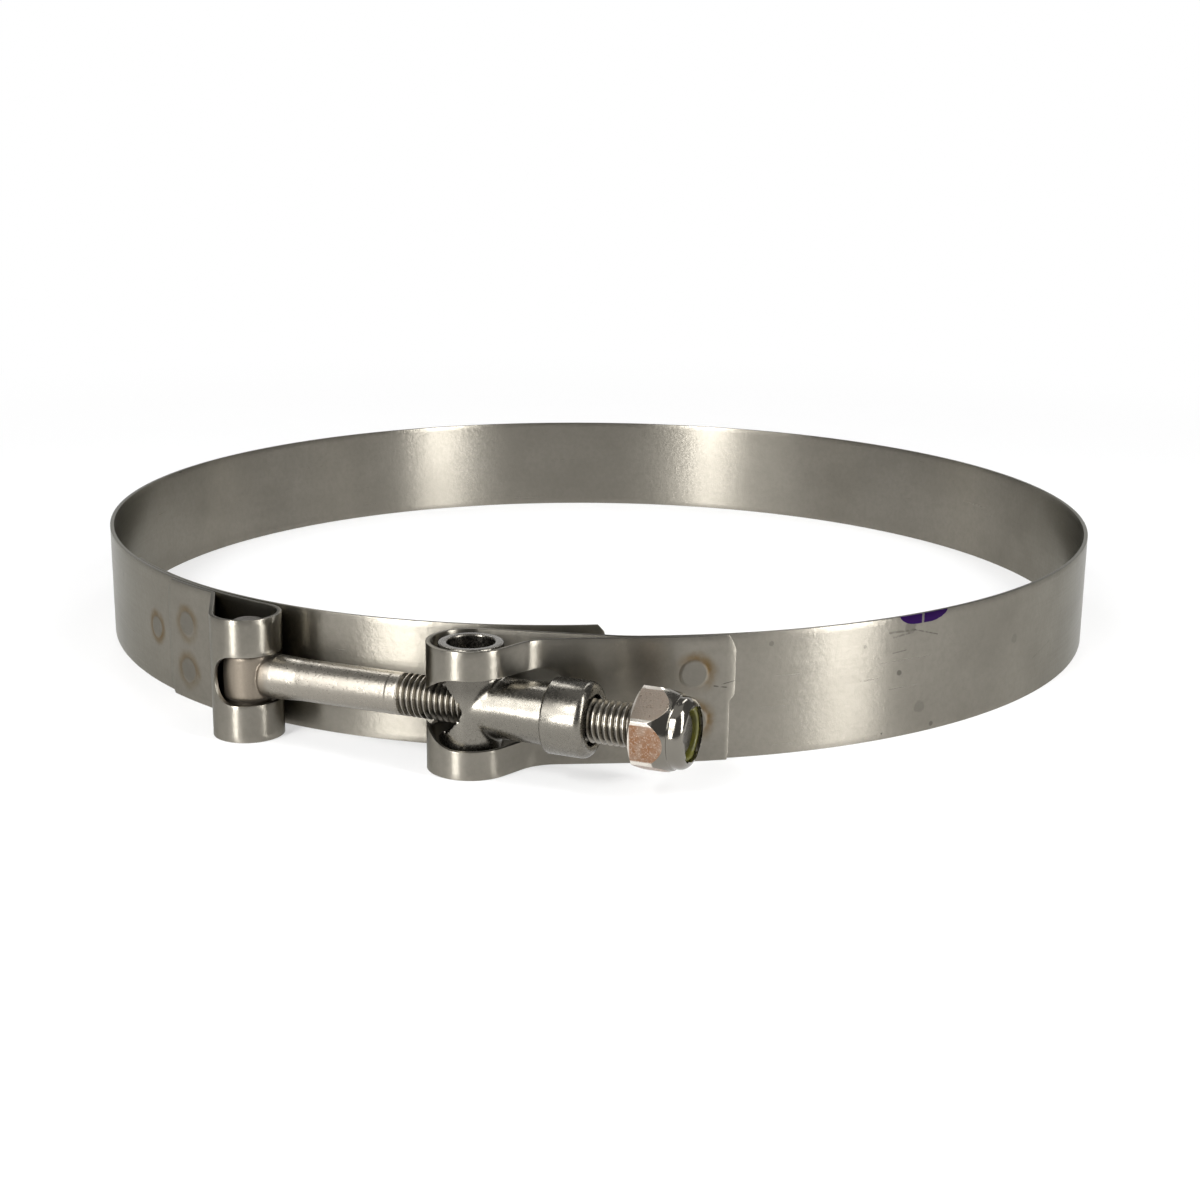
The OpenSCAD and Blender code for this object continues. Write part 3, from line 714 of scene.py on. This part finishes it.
def strip_material(name, welds, marks=False):
    """Satin strip with grain, handling patches and heat tint round the given welds."""
    f = finish()
    g = Surface(name, f.strip)
    grain = g.effect(rolled_grain(), Vector=g.place)
    wear = g.effect(handling(), Vector=g.place, Scale=38.0, Cover=0.6)
    base = g.mix(g.fade(grain["Mottle"], 0.3, 0.75, 0.1, 0.6), f.strip, f.strip_dark)
    base = g.mix(g.times(wear["Patch"], 0.35), base, f.strip_dark)
    rough = g.plus(g.fade(grain["Streak"], 0.2, 0.8, 0.27, 0.33), g.times(wear["Patch"], 0.08))
    ripple = g.noise(g.place, 1100.0, 4.0, 0.65)
    base = g.mix(g.fade(ripple, 0.35, 0.7, 0.0, 0.35), base, f.strip_dark)
    # Painted shade: upward faces, the strip's top edges, are darkened towards the smudge colour.
    edge = g.z_of(g.normal)
    base = g.mix(g.fade(edge, 0.5, 0.9, 0.0, 0.6), base, f.soot_and_shade)
    height = g.plus(g.times(grain["Height"], 0.03), g.times(ripple, 0.2))
    for place, radius, strength, lean in welds:
        spot = g.effect(weld_spot(), Vector=g.place, Centre=place, Radius=radius, Lean=lean)
        base = g.mix(g.times(spot["Ring"], strength), base, f.heat)
        base = g.mix(g.times(spot["Disc"], 0.5), base, f.strip)
        rough = g.plus(rough, g.times(spot["Disc"], 0.1))
        height = g.plus(height, g.times(spot["Raised"], 0.6))
    if marks:
        for degrees, z, radius, strength in SMUDGES:
            spot = g.effect(smudge(), Vector=g.place, Centre=on_face(degrees, z), Radius=radius)
            base = g.mix(g.times(spot["Patch"], strength), base, f.soot_and_shade)
        # Scratches, and one line of painted shade along the left leg's end.
        for first, last, out, width, strength in SCRATCHES_AND_SHADE:
            ends = {"From": on_face(*first, out), "To": on_face(*last, out)}
            line = g.effect(scratch_and_shade_line(), Vector=g.place, Width=width, **ends)
            base = g.mix(g.times(line["Line"], strength), base, f.soot_and_shade)
        base = g.mix(ink_mark(g, g.place), base, f.ink)
    tangent = g.node("ShaderNodeTangent", direction_type="RADIAL", axis="Z").outputs[0]
    g.fill(g.shader, {"Specular Tint": (0.67, 0.67, 0.65, 1), "Anisotropic": 0.97,
                      "Anisotropic Rotation": 0.25, "Tangent": tangent})
    return g.done(base, rough, height, 0.00012)


def along_bolt(g, place):
    """Distance along the bolt from the head, and distance from the bolt's axis."""
    m = on_bolt(0)
    away = g.vector("SUBTRACT", place, tuple(m.translation))
    s = g.vector("DOT_PRODUCT", away, tuple(m.col[2][:3]), "Value")
    line = g.node("ShaderNodeVectorMath", {0: tuple(m.col[2][:3]), "Scale": s}, operation="SCALE").outputs[0]
    r = g.vector("LENGTH", g.vector("SUBTRACT", away, line), output="Value")
    return s, r


def bolt_material():
    """Forged and peened shank with a matte head, and painted shade on the arm ends and in the thread roots.
    """
    f, b = finish(), bolt_sizes()
    g = Surface("forged_bolt", f.bolt)
    s, r = along_bolt(g, g.place)
    z = g.z_of(g.place)
    peen = g.noise(g.place, 3200.0, 3.0, 0.6)
    dents = g.noise(g.place, 900.0, 3.0, 0.5)
    on_shank = g.fade(s, b.thread_start, b.thread_start + 0.0006, 1.0, 0.0)
    # Painted shade: the thread's roots are darkened towards a dark colour.
    root = g.times(g.fade(r, b.root / 2, b.shank / 2 - 0.0001, 1.0, 0.0), g.minus(1.0, on_shank))
    matte = g.fade(s, 0.0036, 0.0052, 1.0, 0.0)
    wear = g.effect(handling(), Vector=g.place, Scale=160.0, Cover=0.7)
    base = g.mix(g.times(g.fade(peen, 0.5, 0.75, 0.0, 0.2), on_shank), f.bolt, f.strip_dark)
    base = g.mix(g.times(root, 0.75), base, f.root)
    base = g.mix(g.times(wear["Patch"], 0.15), base, f.strip_dark)
    base = g.mix(g.times(matte, 0.7), base, f.head)
    # Painted shade: the arms' ends, inside the loop under its strap, are darkened towards the smudge colour.
    ends = g.fade(g.math("ABSOLUTE", g.minus(z, strip_sizes().width / 2)), 0.0055, 0.0075)
    base = g.mix(g.times(ends, 0.85), base, f.soot_and_shade)
    rough = g.plus(g.fade(peen, 0.3, 0.7, 0.26, 0.38), g.times(matte, 0.14))
    height = g.plus(g.times(peen, 0.35), g.times(dents, 0.65))
    height = g.plus(height, g.fade(s, b.thread_start - 0.0022, b.thread_start - 0.0018, 0.0, 0.9))
    height = g.times(height, on_shank)
    return g.done(base, rough, height, 0.00005)


def bright_material(name):
    """Tumbled bright steel, a little wavy, with painted shade in a band under the loops and on its upward
    faces.
    """
    f = finish()
    g = Surface(name, f.bright)
    wave = g.noise(g.place, 210.0, 2.0, 0.4)
    fine = g.noise(g.place, 2600.0, 3.0, 0.65)
    wear = g.effect(handling(), Vector=g.place, Scale=140.0, Cover=0.5)
    up = g.z_of(g.normal)
    lift = g.z_of(g.place)
    # Painted shade, held in film: darker at heights of 10.5 to 16.5 mm under the loops' upper edges, and on
    # upward faces.
    film = g.times(g.fade(lift, 0.0105, 0.0132, 0.0, 0.5), g.fade(lift, 0.015, 0.0165, 1.0, 0.0))
    film = g.math("MAXIMUM", film, g.fade(up, 0.35, 0.9, 0.0, 0.35))
    base = g.mix(g.times(wear["Patch"], 0.3), f.bright, f.strip_dark)
    base = g.mix(g.fade(fine, 0.45, 0.75, 0.0, 0.22), base, f.soot_and_shade)
    base = g.mix(film, base, f.soot_and_shade)
    rough = g.plus(g.fade(fine, 0.3, 0.7, 0.18, 0.31), g.times(wear["Patch"], 0.06))
    height = g.plus(g.times(wave, 0.6), g.times(fine, 0.028))
    return g.done(base, rough, height, 0.00025)


def nut_material():
    """Bright nut with a coppery film on its flats."""
    f = finish()
    g = Surface("plated_nut", f.bright)
    u = on_bolt(0).col[2][:3]
    tilt = g.math("ABSOLUTE", g.vector("DOT_PRODUCT", g.normal, tuple(u), "Value"))
    s, r = along_bolt(g, g.place)
    start = nut_start()
    flat = g.times(g.fade(tilt, 0.12, 0.35, 1.0, 0.0), g.fade(s, start + 0.0048, start + 0.0056, 1.0, 0.0))
    flat = g.times(flat, g.fade(r, 0.0050, 0.0054))
    facing = g.vector("DOT_PRODUCT", g.normal, (-0.32, -0.82, -0.48), "Value")
    speck = g.noise(g.place, 3800.0, 2.0, 0.6)
    cloud = g.noise(g.place, 900.0, 4.0, 0.65)
    # Bright hexagon corners and face rim: worn edges, and painted highlight of the bright edge lines.
    worn = g.math("MAXIMUM", g.fade(r, 0.00612, 0.00622), g.fade(s, start + 0.0002, start + 0.0005, 1.0, 0.0))
    film = g.times(flat, g.fade(facing, 0.2, 0.8, 0.12, 0.97))
    film = g.times(film, g.fade(cloud, 0.3, 0.7, 0.55, 1.0))
    pale = g.times(flat, 0.85)
    base = g.mix(film, g.mix(pale, f.bright, f.flats), f.copper)
    # Painted glints: paler specks on the flats stand in for the grain's sparkle.
    glint = g.times(flat, g.fade(speck, 0.5, 0.66, 0.0, 0.6))
    base = g.mix(glint, base, f.glint)
    base = g.mix(worn, base, f.worn)
    rough = g.plus(0.13, g.times(flat, g.fade(speck, 0.3, 0.7, 0.3, 0.14)))
    height = g.plus(g.times(g.times(speck, flat), 0.5), g.times(cloud, 0.25))
    return g.done(base, rough, height, 0.0001)


def nylon_material():
    """Olive yellow nylon, scuffed and slightly waxy."""
    f = finish()
    g = Surface("olive_nylon", f.nylon, 0.0, 0.42)
    cloud = g.noise(g.place, 600.0, 4.0, 0.6)
    dark = tuple(c * 0.45 for c in f.nylon)
    base = g.mix(g.fade(cloud, 0.4, 0.75), f.nylon, dark)
    return g.done(base, g.fade(cloud, 0.3, 0.7, 0.34, 0.55), cloud, 0.0001)


def cutter_frame(n, t, place):
    """A window cutter's frame, with Y along the strip and Z out of it."""
    m = Matrix((t.cross(n), t, n)).transposed().to_4x4()
    m.translation = place
    return m


def dress(obj, material, body, node):
    """Gives a piece its material and body, and hides the solid that it stands for."""
    obj.data.materials.clear()
    obj.data.materials.append(material)
    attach(obj, body)
    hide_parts(node)


class CLAMP_OT_band(bpy.types.Operator):
    """Lays out the strip of the band with both folded loops and cuts their windows"""

    bl_idname = "clamp.band"
    bl_label = "Band"

    def execute(self, context):
        s = strip_sizes()
        left, right = loop_facts("left"), loop_facts("right")
        half = s.thick / 2
        ring_out, ring_in = s.radius + s.seam + half, s.radius - half
        first = polar(ring_out, s.left_end)
        strip = Strip(first, s.left_end, s.width, STRIP_ROWS)
        strip.bend(ring_out, s.left_touch - s.left_end, 8)
        strip.straight(s.left_leg)
        strip.bend(s.left_bend + half, -left["foot_turn"], 10)
        strip.straight(left["neck"], 4)
        strip.bend(s.left_loop + half, left["sweep"], 56)
        strip.bend(ring_in, -(2 * math.pi + s.left_angle - s.right_angle), 180)
        strip.bend(s.right_turn_radius + half, -s.right_turn, 8)
        strip.straight(s.right_lead, 8)
        strip.bend(s.right_loop + half, right["sweep"], 56)
        strip.straight(right["neck"], 2)
        strip.bend(s.right_bend + half, -right["foot_turn"], 14)
        strip.straight(s.right_leg, 6)
        strip.bend(ring_out, s.right_end - s.right_touch, 8)
        strip.shape_end(strip.at, strip.heading, leg_inset)
        strip.shape_end(first, s.left_end + math.pi,
                        lambda z: corner_inset(z, s.corner_along, s.corner_across))
        band = strip.done(s.thick)
        n = Vector((*polar(1, s.left_angle), 0))
        t = Vector((math.cos(s.left_angle), math.sin(s.left_angle), 0))
        place = Vector((*left["middle"], s.width / 2))
        place = place + n * (0.0003 - s.left_loop) + t * (s.left_window / 2 - s.left_reach)
        carve(band, slot_tool(s.left_window, 3 * s.left_loop, WINDOW_DEPTH, cutter_frame(n, t, place)))
        n, t = Vector((0, -1, 0)), Vector((1, 0, 0))
        place = Vector((*right["middle"], s.width / 2))
        place = place - n * 0.0028 + t * (s.right_window / 2 - s.right_window_left)
        run = s.right_window_left + s.right_window_right - s.right_window
        carve(band, slot_tool(s.right_window, run, WINDOW_DEPTH, cutter_frame(n, t, place)))
        _, _, span = bolt_frame()
        carve(band, rod(s.passage / 2, 2 * s.right_loop, on_bolt(span - 2 * s.right_loop)))
        soft_edges(band, STRIP_EDGE)
        smooth(settle(band, "band_strip"))
        leg = s.seam + s.thick
        welds = [(on_face(degrees, z, leg * folded), *ring) for degrees, z, folded, *ring in WELDS]
        mat = strip_material("satin_strip", welds, True)
        dress(band, mat, "band", "band")
        return {"FINISHED"}


class CLAMP_OT_bridge(bpy.types.Operator):
    """Lays out the inner bridge strip, welded at one end and free at the other"""

    bl_idname = "clamp.bridge"
    bl_label = "Bridge"

    def execute(self, context):
        s = strip_sizes()
        mid = s.radius - s.thick - 0.00005 - s.bridge_thick / 2
        first = polar(mid, s.bridge_start)
        strip = Strip(first, s.bridge_start, s.width, STRIP_ROWS)
        strip.bend(mid, s.bridge_leave - s.bridge_start, 8)
        strip.bend(s.bridge_radius - s.bridge_thick / 2, s.bridge_turn, 48)
        strip.shape_end(strip.at, strip.heading, lambda z: corner_inset(z, s.bridge_along, s.bridge_across))
        bridge = strip.done(s.bridge_thick)
        soft_edges(bridge, STRIP_EDGE)
        smooth(settle(bridge, "bridge_strip"))
        degrees, z, _, radius, _, _ = WELDS[-1]
        mat = strip_material("satin_bridge", [((*polar(mid, math.radians(degrees)), z), radius, 0.6, 0.0)])
        dress(bridge, mat, "band", "bridge")
        return {"FINISHED"}


class CLAMP_OT_t_bolt(bpy.types.Operator):
    """Forges the bolt's head and shank and rolls its thread"""

    bl_idname = "clamp.t_bolt"
    bl_label = "T bolt"

    def execute(self, context):
        s, b = strip_sizes(), bolt_sizes()
        head, _, span = bolt_frame()
        end = span + b.past
        up = Matrix.Translation((head.x, head.y, s.width / 2 - b.hub_height / 2))
        hub = rod(b.hub / 2, b.hub_height, up, 0.0007)
        up = Matrix.Translation((head.x, head.y, b.arm_inset))
        arms = rod(b.arm / 2, s.width - 2 * b.arm_inset, up, 0.0016)
        r, n = b.shank / 2, b.neck / 2
        inner = n - SHANK_RIM
        points = [(0, 0), (inner, 0), (inner, 0.003)] + rounding(inner, 0.0035, SHANK_RIM, -90, 0)
        points += [(n, b.neck_start), (r, b.neck_start + b.neck_taper)]
        points += rounding(r - SHANK_RIM, b.thread_start - SHANK_RIM, SHANK_RIM, 0, 90)
        shank = turned(points + [(0, b.thread_start)], on_bolt(0))
        join(hub, arms, shank)
        remesh(hub, BOLT_VOXEL)
        apply(hub, "SMOOTH", factor=0.5, iterations=7)
        r0, r1, p = b.root / 2, b.shank / 2, b.pitch
        start = b.thread_start - 0.0003
        turns = math.ceil((end - start) / p) + 2
        thread = point(r0, 0)
        for dr, dz in ((r1 - r0, 0.36 * p), (0, 0.14 * p), (r0 - r1, 0.36 * p), (0, 0.14 * p)):
            extrude(dr, 0, dz)
        leave()
        apply(thread, "SCREW", angle=2 * math.pi, screw_offset=p, iterations=turns, steps=36, render_steps=36,
              use_merge_vertices=True, merge_threshold=1e-6, use_normal_calculate=True)
        put(thread, on_bolt(start - p))
        edit()
        for s_cut, keep_low in ((start, False), (end, True)):
            m = on_bolt(s_cut)
            whole()
            bpy.ops.mesh.bisect(plane_co=m.translation, plane_no=m.col[2][:3], use_fill=True,
                                clear_inner=not keep_low, clear_outer=keep_low, threshold=1e-7)
        whole()
        bpy.ops.mesh.remove_doubles(threshold=1e-7)
        bpy.ops.mesh.normals_make_consistent(inside=False)
        leave()
        shape = turned([(0, 0), (r1 + 0.0001, 0), (r1 + 0.0001, end - start - 0.0005),
                        (r0 - 0.0001, end - start + 0.0002), (0, end - start + 0.0002)], on_bolt(start))
        carve(thread, shape, "INTERSECT")
        smooth(thread, 25)
        join(hub, thread)
        bolt = settle(hub, "bolt_with_thread")
        dress(bolt, bolt_material(), "t_bolt", "t_bolt")
        return {"FINISHED"}


class CLAMP_OT_trunnion(bpy.types.Operator):
    """Joins tube and sleeve with a filleted root and bores them"""

    bl_idname = "clamp.trunnion"
    bl_label = "Trunnion"

    def execute(self, context):
        s, b = strip_sizes(), bolt_sizes()
        _, _, span = bolt_frame()
        middle = loop_facts("right")["middle"]
        up = Matrix.Translation((middle.x, middle.y, b.tube_inset))
        tube = rod(b.tube / 2, s.width - 2 * b.tube_inset, up)
        run = b.collar_start + b.collar_length - b.collar_wall - 0.00005
        sleeve = rod(b.sleeve / 2, run, on_bolt(span))
        join(tube, sleeve)
        remesh(tube, ROOT_VOXEL)
        group = tube.vertex_groups.new(name="root")
        back = on_bolt(span).inverted()
        for v in tube.data.vertices:
            q = back @ v.co
            weight = share(q.z - 0.001, 0.002) * share(0.0115 - q.z, 0.003) * share(0.0086 - abs(q.x), 0.001)
            group.add([v.index], weight, "REPLACE")
        apply(tube, "SMOOTH", factor=0.5, iterations=160, vertex_group="root")
        tube.vertex_groups.clear()
        up = Matrix.Translation((middle.x, middle.y, -0.001))
        carve(tube, rod(b.tube_bore / 2, s.width + 0.002, up))
        carve(tube, rod(b.hole / 2, run + 2 * b.tube, on_bolt(span - b.tube)))
        carve(tube, rod(b.relief / 2, b.tube - b.relief_reach, on_bolt(span - b.tube)))
        points = [(0, 0), (b.funnel + 0.0009, 0), (b.funnel, 0.0027)] + FUNNEL_THROAT
        carve(tube, turned(points, on_bolt(span - FUNNEL_START)))
        remesh(tube, TRUNNION_VOXEL)
        apply(tube, "SMOOTH", factor=0.5, iterations=4)
        smooth(settle(tube, "trunnion_body"), 60)
        dress(tube, bright_material("tumbled_trunnion"), "trunnion", "trunnion")
        return {"FINISHED"}


class CLAMP_OT_collar(bpy.types.Operator):
    """Turns the cap on the sleeve's end"""

    bl_idname = "clamp.collar"
    bl_label = "Collar"

    def execute(self, context):
        b = bolt_sizes()
        _, _, span = bolt_frame()
        r, n = b.collar / 2, b.collar_length
        seat = b.sleeve / 2 - 0.00002
        foot, crown, rim = 0.0004, 0.0012, 0.0002
        points = [(seat, 0)] + rounding(r - foot, foot, foot, -90, 0)
        points += rounding(r - crown, n - crown, crown, 0, 90, 10)
        points += rounding(b.hole / 2 + rim, n - rim, rim, 90, 180, 3)
        points += [(b.hole / 2, n - b.collar_wall), (seat, n - b.collar_wall)]
        collar = turned(points, on_bolt(span + b.collar_start))
        smooth(settle(collar, "collar_cap"))
        dress(collar, bright_material("tumbled_collar"), "trunnion", "trunnion_collar")
        return {"FINISHED"}


def nut_start():
    """Distance of the nut's face from the head's axis."""
    b = bolt_sizes()
    return bolt_frame()[2] + b.collar_start + b.collar_length + b.nut_gap


class CLAMP_OT_lock_nut(bpy.types.Operator):
    """Makes the hexagon nut with its crimped collar"""

    bl_idname = "clamp.lock_nut"
    bl_label = "Lock nut"

    def execute(self, context):
        b = bolt_sizes()
        corner = b.nut_flats / 2 / math.cos(HEX_TURN)
        at = on_bolt(nut_start())
        nut = put(cylinder(6, corner, 0.012, 0.005), on_bolt(nut_start(), b.nut_turn + HEX_TURN))
        face, wide, c = b.nut_flats / 2 - 0.00015, corner + 0.0002, b.crimp / 2
        dome = b.nut_hex - (wide - face) * math.tan(b.nut_dome)
        points = [(0, 0), (face, 0), (wide, (wide - face) * math.tan(HEX_TURN)), (wide, dome),
                  (face, b.nut_hex), (c + 0.00012, b.nut_hex + 0.00004), (c, b.nut_hex + 0.0002)]
        crown = 0.0015
        points += rounding(c - crown, b.nut_height - crown, crown, 0, 90, 12)
        carve(nut, turned(points + [(0, b.nut_height)], at, 128), "INTERSECT")
        bore, top = b.shank / 2 + BORE_PLAY, b.nut_height - LIP_DEPTH
        pocket = b.insert / 2 + 0.00005
        tool = turned([(0, -0.001), (bore + 0.0014, -0.001), (bore, 0.0004), (bore, top - POCKET_HEIGHT),
                       (pocket, top - POCKET_HEIGHT), (pocket, top), (b.crimp_opening / 2, top),
                       (b.crimp_opening / 2, b.nut_height + 0.001), (0, b.nut_height + 0.001)], at, 128)
        only(tool)
        edit()
        back = at.inverted()
        for k in range(6):
            turn = math.radians(60 * k + 20)
            side = Vector((math.cos(turn), math.sin(turn)))

            def on_lip(p):
                q = back @ p
                return q.z > top - 0.00001 and 0.0035 < q.xy.length < 0.004 and q.xy.angle(side) < 0.2

            pick(tool, on_lip)
            dent = at.to_3x3() @ side.to_3d()
            bpy.ops.transform.translate(value=dent * 0.0003)
        leave()
        carve(nut, tool)
        soft_edges(nut, 0.00016, 3, 14)
        smooth(settle(nut, "nut_body"), 25)
        dress(nut, nut_material(), "nut", "lock_nut")
        return {"FINISHED"}


class CLAMP_OT_insert(bpy.types.Operator):
    """Turns the nylon ring under the nut's crimped lip"""

    bl_idname = "clamp.insert"
    bl_label = "Insert"

    def execute(self, context):
        b = bolt_sizes()
        bore = b.shank / 2 + BORE_PLAY
        rim = b.crimp_opening / 2 - 0.00005
        base = b.nut_height - LIP_DEPTH - 0.00185
        step = 0.0018
        points = [(bore, 0), (b.insert / 2, 0), (b.insert / 2, step), (rim, step)]
        points += rounding(rim - 0.0001, step, 0.0001, 0, 90, 3)[1:]
        points += rounding(bore + 0.0003, 0.0016, 0.0003, 90, 180, 4)
        ring = turned(points, on_bolt(nut_start() + base))
        smooth(settle(ring, "insert_ring"))
        dress(ring, nylon_material(), "insert", "nylon_insert")
        return {"FINISHED"}


def lamp(name, place, aim, wide, tall, power):
    """An area lamp aimed at a point."""
    data = bpy.data.lights.new(name, "AREA")
    data.shape, data.size, data.size_y, data.energy = "RECTANGLE", wide, tall, power
    obj = bpy.data.objects.new(name, data)
    bpy.context.scene.collection.objects.link(obj)
    obj.location = place
    obj.visible_camera = False
    obj.rotation_euler = (Vector(aim) - Vector(place)).to_track_quat("-Z", "Y").to_euler()


def floor_material():
    """Pale floor that keeps the shadow near the clamp and is plain white further off."""
    g = Surface("pale_floor", finish().floor, 0.0, 0.9)
    away = g.vector("LENGTH", g.place, output="Value")
    path = g.node("ShaderNodeLightPath").outputs
    seen = g.math("MAXIMUM", path["Is Camera Ray"], path["Is Glossy Ray"])
    seen = g.math("MAXIMUM", seen, path["Is Transmission Ray"])
    white = g.node("ShaderNodeEmission", {"Color": (1, 1, 1, 1), "Strength": 1.0})
    both = g.node("ShaderNodeMixShader", {0: g.times(seen, g.fade(away, 0.1, 0.35, 0.5, 1.0)),
                                          1: g.shader.outputs[0], 2: white.outputs[0]})
    g.fill(g.tree.nodes["Material Output"], {"Surface": both.outputs[0]})
    return g.material


class CLAMP_OT_stage(bpy.types.Operator):
    """Sets the floor, lamps, world and camera"""

    bl_idname = "clamp.stage"
    bl_label = "Studio"

    def execute(self, context):
        scene = context.scene
        clear()
        bpy.ops.mesh.primitive_plane_add(size=8, location=(0, 0, -0.0001))
        floor = bpy.context.object
        edit()
        bpy.ops.mesh.select_mode(type="VERT")
        pick(floor, lambda p: p.y > 3.9)
        extrude(0, 0.4, 0.4)
        extrude(0, 0, 2.0)
        leave()
        floor.name = "studio_floor"
        floor.data.materials.append(floor_material())
        world = bpy.data.worlds.new("studio")
        scene.world = world
        world.use_nodes = True
        back = world.node_tree.nodes["Background"]
        back.inputs["Color"].default_value = (1, 1, 1, 1)
        back.inputs["Strength"].default_value = 0.22
        for row in LAMPS:
            lamp(*row)
        lens = bpy.data.cameras.new("photo_camera")
        lens.sensor_width, lens.lens = 36, CAMERA_LENS
        lens.clip_start, lens.clip_end = 0.01, 50
        camera = bpy.data.objects.new("photo_camera", lens)
        scene.collection.objects.link(camera)
        camera.matrix_world = (Matrix.Translation(CAMERA_PLACE)
                               @ Matrix.Rotation(math.radians(CAMERA_TILT), 4, "X")
                               @ Matrix.Rotation(math.radians(CAMERA_ROLL), 4, "Z"))
        scene.camera = camera
        scene.view_settings.view_transform = "Standard"
        return {"FINISHED"}


class CLAMP_PT_panel(bpy.types.Panel):
    """Lists the clamp's operators"""

    bl_label = "T bolt clamp"
    bl_idname = "CLAMP_PT_panel"
    bl_space_type = "VIEW_3D"
    bl_region_type = "UI"
    bl_category = "Clamp"

    def draw(self, context):
        for op in OPERATORS:
            self.layout.operator(op.bl_idname)


OPERATORS = (CLAMP_OT_stage, CLAMP_OT_band, CLAMP_OT_bridge, CLAMP_OT_t_bolt, CLAMP_OT_trunnion,
             CLAMP_OT_collar, CLAMP_OT_lock_nut, CLAMP_OT_insert)
CLASSES = (StripSizes, BoltSizes, ClampFinish, *OPERATORS, CLAMP_PT_panel)


def register():
    for cls in CLASSES:
        bpy.utils.register_class(cls)
    bpy.types.Scene.clamp_strip = PointerProperty(type=StripSizes)
    bpy.types.Scene.clamp_bolt = PointerProperty(type=BoltSizes)
    bpy.types.Scene.clamp_finish = PointerProperty(type=ClampFinish)


def unregister():
    for name in ("clamp_strip", "clamp_bolt", "clamp_finish"):
        delattr(bpy.types.Scene, name)
    for cls in reversed(CLASSES):
        bpy.utils.unregister_class(cls)


def main():
    register()
    bpy.ops.clamp.stage()
    bpy.ops.clamp.band()
    bpy.ops.clamp.bridge()
    bpy.ops.clamp.t_bolt()
    bpy.ops.clamp.trunnion()
    bpy.ops.clamp.collar()
    bpy.ops.clamp.lock_nut()
    bpy.ops.clamp.insert()


if __name__ == "__main__":
    main()
